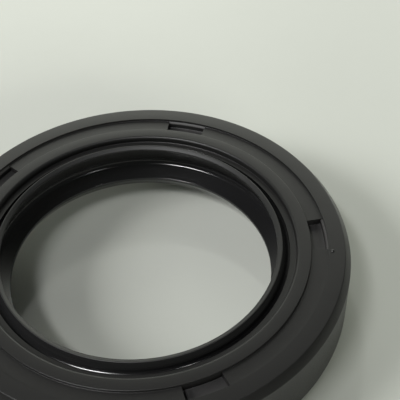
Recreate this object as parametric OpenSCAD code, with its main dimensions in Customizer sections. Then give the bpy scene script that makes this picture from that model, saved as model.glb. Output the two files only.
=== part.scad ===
// Dust seal for a wheel bearing: one moulded rubber ring, lying on its back edge with its face up.
// The origin is the centre of the back edge, +Z is the axis of the shaft and points out of the wheel,
// and +X runs through the middle of one of the pockets in the face.

/* [Fit] */
// Diameter of the hub bore that the ring presses into
outer_d = 42; // [41:0.25:46]
// Diameter of the shaft or spacer that the two lips run on
shaft_d = 28; // [26:0.25:28.5]
// Width of the ring from its back edge to its front face
ring_w = 7; // [6.5:0.25:12]

/* [Outer band] */
// Thickness of the band that grips the hub bore
band_t = 1.8; // [1.3:0.1:2.2]
// How far the chamfer round the front reaches in from the outside
front_chamfer_w = 0.6; // [0.3:0.05:1]
// Height of the chamfer round the front
front_chamfer_h = 0.85; // [0.3:0.05:1.5]
// How far the lead-in chamfer round the back reaches in from the outside
back_chamfer_w = 0.35; // [0.2:0.05:0.7]
// Height of the lead-in chamfer round the back
back_chamfer_h = 0.8; // [0.4:0.05:1.5]

/* [Front wall] */
// Thickness of the front wall between the band and the lips
wall_t = 2.4; // [1.8:0.1:3]
// Radial width of the raised land outside the channel
outer_land_w = 2.2; // [1.8:0.05:2.6]
// Radial width of the shallow channel round the face
channel_w = 1.68; // [1.2:0.01:2]
// Depth of the shallow channel below the face
channel_depth = 0.25; // [0.1:0.05:0.4]
// Radius of the rolled edge inside the inner land
land_roll_r = 0.5; // [0.2:0.05:0.6]
// Depth of the ledge below the face
ledge_depth = 0.65; // [0.5:0.05:0.8]
// Radial width of the ledge
ledge_w = 0.65; // [0.4:0.05:0.8]

/* [Pockets] */
// Number of pockets sunk in the channel
pocket_count = 5; // [3:1:8]
// Angle that one pocket covers
pocket_arc = 12.8; // [6:0.1:20]
// Depth of a pocket below the face
pocket_depth = 0.95; // [0.7:0.05:1.1]
// How far the bevel along the outside of a pocket reaches in
pocket_bevel_w = 0.22; // [0.1:0.02:0.4]
// Height of that bevel
pocket_bevel_h = 0.17; // [0.05:0.01:0.25]
// Drop from the channel's floor to the top of that bevel
pocket_bevel_drop = 0.03; // [0.02:0.01:0.08]
// Width of the floor left between a pocket and each wall of the channel
pocket_margin = 0.05; // [0.03:0.01:0.15]

/* [Moulding pip] */
// Diameter of the moulding pip on the outer land
pip_d = 0.4; // [0.3:0.05:0.8]
// Height of the moulding pip
pip_h = 0.12; // [0.08:0.02:0.2]
// Distance of the pip's centre from the channel
pip_offset = 0.35; // [0.3:0.05:0.8]
// Angle of the pip round the axis, from the middle of a pocket
pip_angle = -7.6; // [-60:0.2:60]

/* [Dust lip] */
// How far the dust lip reaches inside the shaft's surface before it is fitted
dust_lip_bite = 0.3; // [0.1:0.05:0.5]
// Height of the dust lip's crest above the face
dust_lip_rise = 0.2; // [0.05:0.05:0.5]
// Radial width of the bevel on top of the dust lip
dust_lip_bevel_w = 0.55; // [0.4:0.05:0.7]
// Drop of that bevel from the crest to the lip's inner edge
dust_lip_bevel_h = 0.3; // [0.1:0.05:0.5]
// How much further out the dust lip's outer side lies at the groove's floor than at the crest
dust_lip_lean = 0.45; // [0.3:0.05:0.5]
// Radial width of the groove's mouth, from the crest to the ledge
groove_w = 0.78; // [0.7:0.02:1]
// Depth of the groove's floor below the face
groove_depth = 0.95; // [0.85:0.05:1.3]

/* [Main lip] */
// How far the main lip reaches inside the shaft's surface before it is fitted
main_lip_bite = 0.74; // [0.4:0.02:0.9]
// Depth of the main lip's edge below the face
main_lip_depth = 4.05; // [3.8:0.05:4.4]
// Width of the narrow band that touches the shaft
main_lip_band = 0.3; // [0.2:0.05:0.5]
// Depth of the lip's back end below the face
lip_end_depth = 5.35; // [5.1:0.05:5.8]
// How much wider the lip's bore is at its back end than at its edge
lip_end_flare = 0.7; // [0.4:0.05:0.9]
// Radial thickness of the lip at its back end
lip_end_t = 0.9; // [0.6:0.05:1.2]
// How far the grease recess between the lips reaches out past the shaft's surface
recess_reach = 1.42; // [1.2:0.02:1.6]
// Depth of the grease recess's deepest line below the face
recess_depth = 3.15; // [2.9:0.05:3.35]
// Radius of the round in the grease recess
recess_round_r = 0.55; // [0.3:0.05:0.7]
// Thickness of the neck that carries the lips
neck_t = 0.95; // [0.8:0.05:1.3]
// How far the neck runs straight down behind the front wall
neck_drop = 0.6; // [0.2:0.05:0.8]

/* [Edges] */
// Radius of the edges of the outer band, the ledge and the lips
edge_r = 0.15; // [0.05:0.05:0.25]
// Radius of the corners of the groove's floor
groove_round_r = 0.2; // [0.1:0.05:0.25]
// Radius of the inside corners at the back of the front wall
back_fillet_r = 0.5; // [0.2:0.05:0.8]

/* [Hidden] */
$fn = 180;

rubber_black = [0.07, 0.07, 0.07];
// Facets that stand for a rounded corner of the section
round_steps = 6;
// The most of a side that the rounding of one of its corners may take
side_share = 0.45;
// Overlap that seats one solid in another
overlap = 0.05;

outer_r = outer_d / 2;
shaft_r = shaft_d / 2;
band_inner_r = outer_r - band_t;
wall_back_z = ring_w - wall_t;

// Radii of the face, from the outside in
channel_outer_r = outer_r - outer_land_w;
channel_inner_r = channel_outer_r - channel_w;
channel_z = ring_w - channel_depth;
pocket_z = ring_w - pocket_depth;

// The dust lip, and the groove and ledge that follow it
dust_tip_r = shaft_r - dust_lip_bite;
crest_r = dust_tip_r + dust_lip_bevel_w;
crest_z = ring_w + dust_lip_rise;
dust_tip_z = crest_z - dust_lip_bevel_h;
groove_inner_r = crest_r + dust_lip_lean;
groove_outer_r = crest_r + groove_w;
groove_z = ring_w - groove_depth;
land_edge_r = groove_outer_r + ledge_w;
ledge_z = ring_w - ledge_depth;

// The main lip and the grease recess above it
main_tip_r = shaft_r - main_lip_bite;
main_tip_z = ring_w - main_lip_depth;
recess_r = shaft_r + recess_reach;
recess_z = ring_w - recess_depth;
lip_end_r = main_tip_r + lip_end_flare;
lip_end_z = ring_w - lip_end_depth;
neck_r = recess_r + neck_t;
neck_z = wall_back_z - neck_drop;

// The seal's section, counterclockwise from the band's inner edge: radius, height, rounding
SECTION = [
    [band_inner_r, 0, edge_r],
    [outer_r - back_chamfer_w, 0, edge_r],
    [outer_r, back_chamfer_h, edge_r],
    [outer_r, ring_w - front_chamfer_h, edge_r],
    [outer_r - front_chamfer_w, ring_w, edge_r],
    [channel_outer_r, ring_w, 0],
    [channel_outer_r, channel_z, 0],
    [channel_inner_r, channel_z, 0],
    [channel_inner_r, ring_w, 0],
    [land_edge_r, ring_w, land_roll_r],
    [land_edge_r, ledge_z, 0],
    [groove_outer_r, ledge_z, edge_r],
    [groove_outer_r, groove_z, groove_round_r],
    [groove_inner_r, groove_z, groove_round_r],
    [crest_r, crest_z, edge_r],
    [dust_tip_r, dust_tip_z, edge_r],
    [recess_r, recess_z, recess_round_r],
    [main_tip_r, main_tip_z + main_lip_band / 2, 0],
    [main_tip_r, main_tip_z - main_lip_band / 2, 0],
    [lip_end_r, lip_end_z, edge_r],
    [lip_end_r + lip_end_t, lip_end_z, edge_r],
    [neck_r, neck_z, back_fillet_r],
    [neck_r, wall_back_z, back_fillet_r],
    [band_inner_r, wall_back_z, back_fillet_r],
];

function unit(v) = v / norm(v);

// Points of the arc that rounds corner p, between its neighbours a and b, to radius r
function round_points(a, p, b, r) =
    let (
        u = unit(a - p),
        v = unit(b - p),
        half = acos(u * v) / 2,
        run = min(r / tan(half), side_share * min(norm(a - p), norm(b - p))),
        arc_r = run * tan(half),
        centre = p + unit(u + v) * arc_r / sin(half),
        from = p + u * run - centre,
        to = p + v * run - centre,
        start = atan2(from.y, from.x),
        sweep = (atan2(to.y, to.x) - start + 540) % 360 - 180
    )
    [for (i = [0:round_steps])
        centre + arc_r * [cos(start + sweep * i / round_steps), sin(start + sweep * i / round_steps)]];

function flat(p) = [p[0], p[1]];

// Outline of a section whose points carry their rounding as a third number
function rounded(section) =
    let (n = len(section))
    [for (i = [0:n - 1])
        let (p = section[i], a = section[(i + n - 1) % n], b = section[(i + 1) % n])
        each p[2] == 0 ? [flat(p)] : round_points(flat(a), flat(p), flat(b), p[2])];

// Section of one pocket, with a bevel along its outer side
module pocket_section() {
    inner_r = channel_inner_r + pocket_margin;
    rim_r = channel_outer_r - pocket_margin;
    bevel_top_z = channel_z - pocket_bevel_drop;
    polygon([
        [inner_r, pocket_z],
        [rim_r - pocket_bevel_w, pocket_z],
        [rim_r - pocket_bevel_w, bevel_top_z - pocket_bevel_h],
        [rim_r, bevel_top_z],
        [rim_r, crest_z],
        [inner_r, crest_z],
    ]);
}

module pockets() {
    for (i = [0:pocket_count - 1])
        rotate([0, 0, i * 360 / pocket_count - pocket_arc / 2])
            rotate_extrude(angle = pocket_arc)
                pocket_section();
}

// A low dome left on the outer land by the mould
module moulding_pip() {
    dome_r = (pow(pip_d / 2, 2) + pow(pip_h, 2)) / (2 * pip_h);
    rotate([0, 0, pip_angle])
        translate([channel_outer_r + pip_offset, 0, ring_w + pip_h - dome_r])
            intersection() {
                sphere(r = dome_r);
                translate([-pip_d, -pip_d, dome_r - pip_h - overlap])
                    cube([2 * pip_d, 2 * pip_d, pip_h + 2 * overlap]);
            }
}

module dust_seal_ring() {
    color(rubber_black)
        union() {
            difference() {
                rotate_extrude()
                    polygon(rounded(SECTION));
                pockets();
            }
            moulding_pip();
        }
}

dust_seal_ring();
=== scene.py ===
import math

import bpy
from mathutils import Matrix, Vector


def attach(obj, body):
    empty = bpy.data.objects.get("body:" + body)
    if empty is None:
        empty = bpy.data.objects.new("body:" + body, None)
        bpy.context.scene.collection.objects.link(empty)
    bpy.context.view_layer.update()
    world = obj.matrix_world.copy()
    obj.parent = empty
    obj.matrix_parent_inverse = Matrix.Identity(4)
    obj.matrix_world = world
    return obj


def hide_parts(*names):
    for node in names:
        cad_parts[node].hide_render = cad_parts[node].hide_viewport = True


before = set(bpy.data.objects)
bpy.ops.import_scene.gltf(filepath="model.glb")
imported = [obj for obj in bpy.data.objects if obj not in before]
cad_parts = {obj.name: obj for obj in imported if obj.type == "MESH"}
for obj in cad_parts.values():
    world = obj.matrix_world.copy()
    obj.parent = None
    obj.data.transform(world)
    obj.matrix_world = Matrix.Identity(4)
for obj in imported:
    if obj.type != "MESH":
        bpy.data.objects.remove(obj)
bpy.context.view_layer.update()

MM = 0.001

# ---------------------------------------------------------------- sizes, in millimetres

OUTER_R = 21.0
RING_W = 7.0
BAND_INNER_R = 19.2
WALL_BACK_Z = 4.6

# The chamfers round the front and the back of the outer band
FRONT_CHAMFER_W = 0.6
FRONT_CHAMFER_H = 0.85
BACK_CHAMFER_W = 0.35
BACK_CHAMFER_H = 0.8

# The face: outer land, shallow channel, inner land, ledge
CHANNEL_OUTER_R = 18.8
CHANNEL_INNER_R = 17.12
CHANNEL_Z = 6.75
LAND_EDGE_R = 15.68
LAND_ROLL = 0.5
LEDGE_Z = 6.35

# The five pockets sunk in the channel
POCKETS = 5
POCKET_ARC = 12.8
POCKET_Z = 6.05
POCKET_BEVEL_W = 0.2
POCKET_BEVEL_TOP_Z = 6.73
POCKET_BEVEL_BOTTOM_Z = 6.56

# The groove and the upstanding dust lip
GROOVE_OUTER_R = 15.03
GROOVE_INNER_R = 14.7
GROOVE_Z = 6.05
CREST_R = 14.25
CREST_Z = 7.2
DUST_TIP_R = 13.7
DUST_TIP_Z = 6.9

# The grease recess, the main lip and the neck that carries them
RECESS_R = 15.42
RECESS_Z = 3.85
RECESS_ROUND = 0.55
MAIN_TIP_R = 13.26
MAIN_TIP_TOP_Z = 3.1
MAIN_TIP_BOTTOM_Z = 2.8
LIP_END_R = 13.96
LIP_END_Z = 1.65
LIP_END_T = 0.9
NECK_R = 16.37
NECK_Z = 4.0

# Rounding of the moulding's edges
EDGE = 0.14
FINE_EDGE = 0.07
SHARP_EDGE = 0.03
GROOVE_ROUND = 0.38
BACK_FILLET = 0.5

# The most of a side that the rounding of one of its corners may take
SIDE_SHARE = 0.45
GROOVE_SHARE = 0.85

# Steps of the spin round one pocket, and round the plain stretch after it
POCKET_STEPS = 14
PLAIN_STEPS = 66

# The moulding pip on the outer land
PIP_R = 19.15
PIP_ANGLE = -7.6
PIP_WIDTH = 0.4
PIP_HEIGHT = 0.12


# ---------------------------------------------------------------- small helpers

def clear_selection():
    """Nothing selected and object mode, before each new piece."""
    if bpy.context.object and bpy.context.object.mode != "OBJECT":
        bpy.ops.object.mode_set(mode="OBJECT")
    bpy.ops.object.select_all(action="DESELECT")


def edit(obj):
    """Edit mode on one piece, with nothing selected."""
    clear_selection()
    bpy.context.view_layer.objects.active = obj
    obj.select_set(True)
    bpy.ops.object.mode_set(mode="EDIT")
    bpy.ops.mesh.select_mode(type="VERT")
    bpy.ops.mesh.select_all(action="DESELECT")


def pick(obj, test):
    """Select, in edit mode, only the vertices whose place passes a test."""
    bpy.ops.object.mode_set(mode="OBJECT")
    mesh = obj.data
    for group in (mesh.vertices, mesh.edges, mesh.polygons):
        for part in group:
            part.select = False
    for vertex in mesh.vertices:
        vertex.select = test(vertex.co)
    bpy.ops.object.mode_set(mode="EDIT")


# ---------------------------------------------------------------- the moulded ring

def channel_floor():
    """The shallow channel's floor, as corners of the section: radius, height, rounding."""
    return [
        (CHANNEL_OUTER_R, CHANNEL_Z, SHARP_EDGE),
        (CHANNEL_INNER_R, CHANNEL_Z, SHARP_EDGE),
    ]


def pocket_floor():
    """The same stretch of the section where a pocket is sunk, its outer side bevelled."""
    return [
        (CHANNEL_OUTER_R, CHANNEL_Z + SHARP_EDGE, 0),
        (CHANNEL_OUTER_R, POCKET_BEVEL_TOP_Z, 0),
        (CHANNEL_OUTER_R - POCKET_BEVEL_W, POCKET_BEVEL_BOTTOM_Z, EDGE),
        (CHANNEL_OUTER_R - POCKET_BEVEL_W, POCKET_Z, FINE_EDGE),
        (CHANNEL_INNER_R, POCKET_Z, FINE_EDGE),
        (CHANNEL_INNER_R, CHANNEL_Z + SHARP_EDGE, 0),
    ]


def section_corners(floor):
    """The ring's whole section, counterclockwise from the band's inner edge."""
    return [
        (BAND_INNER_R, 0, EDGE),
        (OUTER_R - BACK_CHAMFER_W, 0, EDGE),
        (OUTER_R, BACK_CHAMFER_H, EDGE),
        (OUTER_R, RING_W - FRONT_CHAMFER_H, EDGE),
        (OUTER_R - FRONT_CHAMFER_W, RING_W, EDGE),
        (CHANNEL_OUTER_R, RING_W, 0),
        *floor,
        (CHANNEL_INNER_R, RING_W, FINE_EDGE),
        (LAND_EDGE_R, RING_W, LAND_ROLL),
        (LAND_EDGE_R, LEDGE_Z, FINE_EDGE),
        (GROOVE_OUTER_R, LEDGE_Z, SHARP_EDGE),
        (GROOVE_OUTER_R, GROOVE_Z, SHARP_EDGE),
        (GROOVE_INNER_R, GROOVE_Z, GROOVE_ROUND),
        (CREST_R, CREST_Z, EDGE),
        (DUST_TIP_R, DUST_TIP_Z, EDGE),
        (RECESS_R, RECESS_Z, RECESS_ROUND),
        (MAIN_TIP_R, MAIN_TIP_TOP_Z, FINE_EDGE),
        (MAIN_TIP_R, MAIN_TIP_BOTTOM_Z, FINE_EDGE),
        (LIP_END_R, LIP_END_Z, EDGE),
        (LIP_END_R + LIP_END_T, LIP_END_Z, EDGE),
        (NECK_R, NECK_Z, BACK_FILLET),
        (NECK_R, WALL_BACK_Z, BACK_FILLET),
        (BAND_INNER_R, WALL_BACK_Z, BACK_FILLET),
    ]


def draw_section(name, corners):
    """One outline on the XZ plane: a vertex extruded from corner to corner, then each corner rounded."""
    clear_selection()
    bpy.ops.mesh.primitive_plane_add(size=1)
    outline = bpy.context.object
    outline.name = name
    bpy.ops.object.mode_set(mode="EDIT")
    bpy.ops.mesh.select_all(action="SELECT")
    bpy.ops.mesh.merge(type="CENTER")
    first = here = Vector((corners[0][0], 0, corners[0][1]))
    bpy.ops.transform.translate(value=first)
    for radius, height, _ in corners[1:]:
        there = Vector((radius, 0, height))
        bpy.ops.mesh.extrude_region_move(TRANSFORM_OT_translate={"value": there - here})
        here = there
    pick(outline, lambda place: min((place - first).length, (place - here).length) < 1e-4)
    bpy.ops.mesh.edge_face_add()
    for index, (radius, height, rounding) in enumerate(corners):
        if rounding:
            before = Vector(corners[index - 1][:2])
            after = Vector(corners[(index + 1) % len(corners)][:2])
            round_corner(outline, before, Vector((radius, height)), after, rounding)
    bpy.ops.object.mode_set(mode="OBJECT")
    return outline


def round_corner(outline, before, corner, after, rounding):
    """Bevel one corner of an outline to a radius, or to less where its sides are short."""
    u, v = before - corner, after - corner
    half = u.angle(v) / 2
    # The groove's floor is short and its outer corner sharp, so this round may take most of it
    share = GROOVE_SHARE if rounding == GROOVE_ROUND else SIDE_SHARE
    run = min(rounding / math.tan(half), share * u.length, share * v.length)
    place = Vector((corner[0], 0, corner[1]))
    bpy.ops.mesh.select_mode(type="VERT")
    pick(outline, lambda other: (other - place).length < 1e-4)
    turn = 180 - math.degrees(2 * half)
    steps = max(2, min(12, round(turn / 14 + rounding * 8)))
    bpy.ops.mesh.bevel(offset=run, segments=steps, affect="VERTICES", clamp_overlap=True)


def sweep(outline, start, arc, steps):
    """Turn an outline to its start angle and spin it round the shaft's axis."""
    outline.rotation_euler.z = math.radians(start)
    bpy.ops.object.transform_apply(location=False, rotation=True, scale=False)
    edit(outline)
    bpy.ops.mesh.select_all(action="SELECT")
    bpy.ops.mesh.spin(steps=steps, angle=math.radians(arc), center=(0, 0, 0), axis=(0, 0, -1))
    bpy.ops.object.mode_set(mode="OBJECT")
    return outline


def fifth_of_ring():
    """One pocket and the plain stretch that follows it."""
    pitch = 360 / POCKETS
    with_pocket = sweep(
        draw_section("pocket_stretch", section_corners(pocket_floor())),
        -POCKET_ARC / 2, POCKET_ARC, POCKET_STEPS)
    plain = sweep(
        draw_section("plain_stretch", section_corners(channel_floor())),
        POCKET_ARC / 2, pitch - POCKET_ARC, PLAIN_STEPS)
    clear_selection()
    with_pocket.select_set(True)
    plain.select_set(True)
    bpy.context.view_layer.objects.active = with_pocket
    bpy.ops.object.join()
    return with_pocket


def whole_ring():
    """Five fifths joined and the pockets' ends closed."""
    ring = fifth_of_ring()
    ring.name = "moulded_rubber_ring"
    copies = []
    for index in range(1, POCKETS):
        copy = ring.copy()
        copy.data = ring.data.copy()
        bpy.context.collection.objects.link(copy)
        copy.rotation_euler.z = math.radians(index * 360 / POCKETS)
        copies.append(copy)
    clear_selection()
    for piece in [ring, *copies]:
        piece.select_set(True)
    bpy.context.view_layer.objects.active = ring
    bpy.ops.object.transform_apply(location=False, rotation=True, scale=False)
    bpy.ops.object.join()
    edit(ring)
    bpy.ops.mesh.select_all(action="SELECT")
    bpy.ops.mesh.remove_doubles(threshold=0.002)
    close_pocket_ends()
    bpy.ops.mesh.select_all(action="SELECT")
    bpy.ops.mesh.normals_make_consistent(inside=False)
    bpy.ops.object.mode_set(mode="OBJECT")
    return ring


def close_pocket_ends():
    """A flat wall at each end of each pocket, on the ring that is open for editing."""
    bpy.ops.mesh.select_all(action="DESELECT")
    bpy.ops.mesh.select_mode(type="EDGE")
    bpy.ops.mesh.select_non_manifold(extend=False, use_wire=False, use_boundary=True,
                                     use_multi_face=False, use_non_contiguous=False,
                                     use_verts=False)
    bpy.ops.mesh.edge_face_add()
    bpy.ops.mesh.select_mode(type="VERT")


def add_pip(ring):
    """The low dome that the mould leaves on the outer land."""
    dome = ((PIP_WIDTH / 2) ** 2 + PIP_HEIGHT ** 2) / (2 * PIP_HEIGHT)
    angle = math.radians(PIP_ANGLE)
    clear_selection()
    bpy.ops.mesh.primitive_uv_sphere_add(
        segments=32, ring_count=24, radius=dome,
        location=(PIP_R * math.cos(angle), PIP_R * math.sin(angle), RING_W + PIP_HEIGHT - dome))
    pip = bpy.context.object
    joining = ring.modifiers.new("Pip", "BOOLEAN")
    joining.operation = "UNION"
    joining.solver = "EXACT"
    joining.object = pip
    clear_selection()
    bpy.context.view_layer.objects.active = ring
    ring.select_set(True)
    bpy.ops.object.modifier_apply(modifier=joining.name)
    bpy.data.objects.remove(pip)


def to_metres(piece):
    """Scale a piece modelled in millimetres down to metres, and apply it."""
    clear_selection()
    bpy.context.view_layer.objects.active = piece
    piece.select_set(True)
    piece.scale = (MM, MM, MM)
    bpy.ops.object.transform_apply(location=True, rotation=True, scale=True)


ring = whole_ring()
add_pip(ring)
to_metres(ring)
clear_selection()
bpy.context.view_layer.objects.active = ring
ring.select_set(True)
bpy.ops.object.shade_smooth_by_angle(angle=math.radians(32))
flat_faces = ring.modifiers.new("Even faces", "WEIGHTED_NORMAL")
flat_faces.keep_sharp = True
flat_faces.weight = 80
bpy.ops.object.modifier_apply(modifier=flat_faces.name)

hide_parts("dust_seal_ring")
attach(ring, "root")


# ---------------------------------------------------------------- finishes

def new_group(name, inputs, outputs):
    """An empty shader effect with named inputs and outputs."""
    group = bpy.data.node_groups.new(name, "ShaderNodeTree")
    for label, kind, value in inputs:
        socket = group.interface.new_socket(name=label, in_out="INPUT", socket_type=kind)
        socket.default_value = value
    for label, kind in outputs:
        group.interface.new_socket(name=label, in_out="OUTPUT", socket_type=kind)
    start = group.nodes.new("NodeGroupInput")
    end = group.nodes.new("NodeGroupOutput")
    start.location = (-900, 0)
    end.location = (900, 0)
    return group, start, end


def math_node(tree, operation, a, b):
    """A Math node fed by sockets or plain numbers."""
    node = tree.nodes.new("ShaderNodeMath")
    node.operation = operation
    for index, value in enumerate((a, b)):
        if hasattr(value, "links"):
            tree.links.new(value, node.inputs[index])
        else:
            node.inputs[index].default_value = value
    return node.outputs[0]


def moulded_grain():
    """Fine unevenness that the mould's own surface leaves on rubber."""
    group, start, end = new_group(
        "moulded_grain",
        [("Vector", "NodeSocketVector", (0, 0, 0)),
         ("Grain size", "NodeSocketFloat", 9000.0),
         ("Wave size", "NodeSocketFloat", 600.0)],
        [("Height", "NodeSocketFloat"), ("Mask", "NodeSocketFloat")])
    links = group.links
    fine = group.nodes.new("ShaderNodeTexNoise")
    fine.inputs["Detail"].default_value = 4.0
    fine.inputs["Roughness"].default_value = 0.6
    links.new(start.outputs["Vector"], fine.inputs["Vector"])
    links.new(start.outputs["Grain size"], fine.inputs["Scale"])
    wave = group.nodes.new("ShaderNodeTexNoise")
    wave.inputs["Detail"].default_value = 2.0
    links.new(start.outputs["Vector"], wave.inputs["Vector"])
    links.new(start.outputs["Wave size"], wave.inputs["Scale"])
    weaker = math_node(group, "MULTIPLY", fine.outputs["Fac"], 0.35)
    total = math_node(group, "ADD", weaker, wave.outputs["Fac"])
    links.new(total, end.inputs["Height"])
    links.new(fine.outputs["Fac"], end.inputs["Mask"])
    return group


def rubber(name, roughness, colour, grain, bump):
    """Black rubber with fine grain, a little bloom and uneven sheen."""
    material = bpy.data.materials.new(name)
    material.use_nodes = True
    tree = material.node_tree
    shader = tree.nodes["Principled BSDF"]
    shader.inputs["IOR"].default_value = 1.5
    place = tree.nodes.new("ShaderNodeTexCoord")
    texture = tree.nodes.new("ShaderNodeGroup")
    texture.node_tree = grain
    tree.links.new(place.outputs["Object"], texture.inputs["Vector"])
    lift = tree.nodes.new("ShaderNodeBump")
    lift.inputs["Strength"].default_value = bump
    lift.inputs["Distance"].default_value = 0.00002
    tree.links.new(texture.outputs["Height"], lift.inputs["Height"])
    tree.links.new(lift.outputs["Normal"], shader.inputs["Normal"])
    sheen = tree.nodes.new("ShaderNodeMapRange")
    sheen.inputs["From Min"].default_value = 0.3
    sheen.inputs["From Max"].default_value = 0.7
    sheen.inputs["To Min"].default_value = roughness - 0.05
    sheen.inputs["To Max"].default_value = roughness + 0.05
    tree.links.new(texture.outputs["Mask"], sheen.inputs["Value"])
    tree.links.new(sheen.outputs["Result"], shader.inputs["Roughness"])
    bloom = tree.nodes.new("ShaderNodeMix")
    bloom.data_type = "RGBA"
    bloom.inputs["A"].default_value = (*[c * 0.85 for c in colour], 1)
    bloom.inputs["B"].default_value = (*[c * 1.15 for c in colour], 1)
    tree.links.new(texture.outputs["Mask"], bloom.inputs["Factor"])
    tree.links.new(bloom.outputs["Result"], shader.inputs["Base Color"])
    return material


GRAIN = moulded_grain()
satin = rubber("satin_black_rubber", 0.37, (0.0142, 0.0139, 0.0139), GRAIN, 0.55)
glossy = rubber("glossy_lip_rubber", 0.14, (0.012, 0.012, 0.0125), GRAIN, 0.05)
trimmed = rubber("trimmed_lip_rubber", 0.5, (0.011, 0.011, 0.011), GRAIN, 0.4)
# The pockets get a much lighter colour: painted light, so the sunk floors show as bright as the face
# instead of shaded
pocket_painted_light = rubber("painted_light_pocket_rubber", 0.5, (0.038, 0.037, 0.037), GRAIN, 0.4)
# The land's rounded edge gets a darker colour, painted shade that dims it; its higher roughness dulls
# its highlights
rolled_edge_painted_shade = rubber("dull_rolled_edge_painted_shade_rubber", 0.44, (0.009, 0.009, 0.009), GRAIN, 0.4)
ring.data.materials.clear()
for finish in (satin, glossy, trimmed, pocket_painted_light, rolled_edge_painted_shade):
    ring.data.materials.append(finish)
for polygon in ring.data.polygons:
    radius = math.hypot(polygon.center.x, polygon.center.y) / MM
    height = polygon.center.z / MM
    faces_in = polygon.normal.x * polygon.center.x + polygon.normal.y * polygon.center.y < 0
    on_bevel = radius < CREST_R + 0.02 and height > DUST_TIP_Z - 0.06
    under_bevel = faces_in and radius < GROOVE_INNER_R + 0.2 and RECESS_Z + 0.9 < height < DUST_TIP_Z
    in_groove = radius < GROOVE_OUTER_R + 0.05 and height > RECESS_Z
    in_bore = radius < RECESS_R + 0.05 and LIP_END_Z - 0.2 < height < DUST_TIP_Z - 1.2
    in_channel = CHANNEL_INNER_R < radius < CHANNEL_OUTER_R
    in_pocket = in_channel and POCKET_Z - 0.05 < height < POCKET_BEVEL_TOP_Z
    on_roll = LAND_EDGE_R - 0.02 < radius < LAND_EDGE_R + LAND_ROLL and height > LEDGE_Z + 0.1
    if on_bevel or under_bevel:
        polygon.material_index = 2
    elif in_bore or in_groove:
        polygon.material_index = 1
    # Painted light: the upward-facing faces of the pockets take the lighter pocket colour
    elif in_pocket and polygon.normal.z > 0.3:
        polygon.material_index = 3
    # Painted shade: the land's rounded edge takes the darker rolled-edge colour
    elif on_roll:
        polygon.material_index = 4


# ---------------------------------------------------------------- floor, light and camera

def table_top():
    """The pale table, with a faint cloudiness."""
    material = bpy.data.materials.new("pale_table")
    material.use_nodes = True
    tree = material.node_tree
    shader = tree.nodes["Principled BSDF"]
    shader.inputs["Roughness"].default_value = 0.07
    place = tree.nodes.new("ShaderNodeTexCoord")
    cloud = tree.nodes.new("ShaderNodeTexNoise")
    cloud.inputs["Scale"].default_value = 25.0
    cloud.inputs["Detail"].default_value = 9.0
    cloud.inputs["Roughness"].default_value = 0.75
    tree.links.new(place.outputs["Object"], cloud.inputs["Vector"])
    tint = tree.nodes.new("ShaderNodeMix")
    tint.data_type = "RGBA"
    tint.inputs["A"].default_value = (0.598, 0.618, 0.572, 1)
    tint.inputs["B"].default_value = (0.648, 0.668, 0.622, 1)
    tree.links.new(cloud.outputs["Fac"], tint.inputs["Factor"])
    tree.links.new(tint.outputs["Result"], shader.inputs["Base Color"])
    return material


clear_selection()
bpy.ops.mesh.primitive_plane_add(size=2.4, location=(0, 0, 0))
floor = bpy.context.object
floor.name = "table_top"
floor.data.materials.append(table_top())


def lamp(name, around, height, size, strength, colour, mirrored):
    """A rectangular lamp that looks at the ring from a metre off, from an angle round it and a height.

    A mirrored lamp only shows as a highlight, the others only light the surfaces.
    """
    level, turn = math.radians(height), math.radians(around)
    place = Vector((math.cos(level) * math.cos(turn), math.cos(level) * math.sin(turn), math.sin(level)))
    data = bpy.data.lights.new(name, "AREA")
    data.shape = "RECTANGLE"
    data.size, data.size_y = size
    data.energy = strength
    data.color = colour
    obj = bpy.data.objects.new(name, data)
    bpy.context.collection.objects.link(obj)
    obj.location = place
    obj.rotation_euler = (-place).to_track_quat("-Z", "Y").to_euler()
    obj.visible_glossy = mirrored
    obj.visible_diffuse = not mirrored


DAYLIGHT = (1.0, 1.0, 0.98)
FAR_WALL = (0.97, 1.0, 0.90)
TUBE = (1.0, 1.0, 1.0)

# Two tubes on the ceiling show as narrow highlights; the other lamps cast the soft shadows
lamp("long_tube", 214.5, 64.5, (0.27, 0.15), 7.0, TUBE, True)
lamp("short_tube", 311.5, 67.5, (0.055, 0.10), 0.55, TUBE, True)
lamp("ceiling", 215, 62, (0.38, 0.10), 2.6, TUBE, False)
lamp("window", 183, 32, (0.42, 0.38), 8.6, DAYLIGHT, False)
lamp("front_wall", 300, 18, (0.55, 0.26), 5.3, FAR_WALL, False)
lamp("far_tube", 94, 42, (0.05, 0.04), 0.8, TUBE, False)

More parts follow.
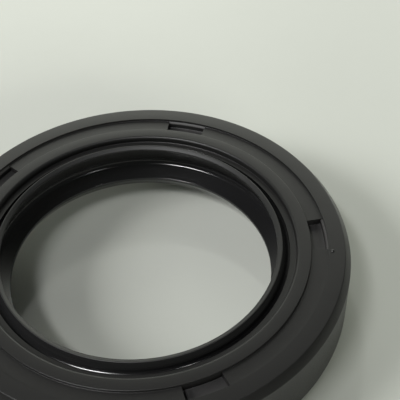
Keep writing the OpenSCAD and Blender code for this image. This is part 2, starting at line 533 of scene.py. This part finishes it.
# The room's glow as soft patches: angle round the axis, height in degrees, sharpness, strength, colour
ROOM_LIGHT = [
    (60, 12, 40, 2.3, FAR_WALL),
    (80, 12, 40, 2.6, FAR_WALL),
    (100, 12, 40, 1.4, FAR_WALL),
    (140, 12, 40, 2.2, FAR_WALL),
    (90, 30, 40, 1.8, FAR_WALL),
    (110, 30, 40, 1.2, FAR_WALL),
    (64, 31, 60, 1.4, FAR_WALL),
]


def soft_patch(tree, direction, around, height, sharpness, strength, colour):
    """Light from one side of the room, strongest in its middle and fading evenly."""
    level, turn = math.radians(height), math.radians(around)
    aim = tree.nodes.new("ShaderNodeVectorMath")
    aim.operation = "DOT_PRODUCT"
    aim.inputs[1].default_value = (
        math.cos(level) * math.cos(turn), math.cos(level) * math.sin(turn), math.sin(level))
    tree.links.new(direction, aim.inputs[0])
    facing = math_node(tree, "MAXIMUM", aim.outputs["Value"], 0.0)
    fade = math_node(tree, "POWER", facing, float(sharpness))
    tinted = tree.nodes.new("ShaderNodeVectorMath")
    tinted.operation = "SCALE"
    tinted.inputs[0].default_value = [c * strength for c in colour]
    tree.links.new(fade, tinted.inputs["Scale"])
    return tinted.outputs["Vector"]


def room():
    """A room lit mainly by a window on the left, with a bright far wall and a dim ceiling."""
    world = bpy.data.worlds.new("room")
    world.use_nodes = True
    tree = world.node_tree
    place = tree.nodes.new("ShaderNodeTexCoord")
    total = None
    for patch in ROOM_LIGHT:
        light = soft_patch(tree, place.outputs["Generated"], *patch)
        if total is not None:
            both = tree.nodes.new("ShaderNodeVectorMath")
            both.operation = "ADD"
            tree.links.new(total, both.inputs[0])
            tree.links.new(light, both.inputs[1])
            light = both.outputs["Vector"]
        total = light
    tree.links.new(total, tree.nodes["Background"].inputs["Color"])
    bpy.context.scene.world = world


room()

view = bpy.data.cameras.new("photo_view")
view.sensor_width = 36
view.lens = 85.5
view.clip_start = 0.005
camera = bpy.data.objects.new("photo_view", view)
bpy.context.collection.objects.link(camera)
camera.location = (0.003738, -0.063100, 0.077360)
camera.rotation_euler = [math.radians(a) for a in (44.281, 1.229, -3.530)]
bpy.context.scene.camera = camera
bpy.context.scene.view_settings.view_transform = "Standard"
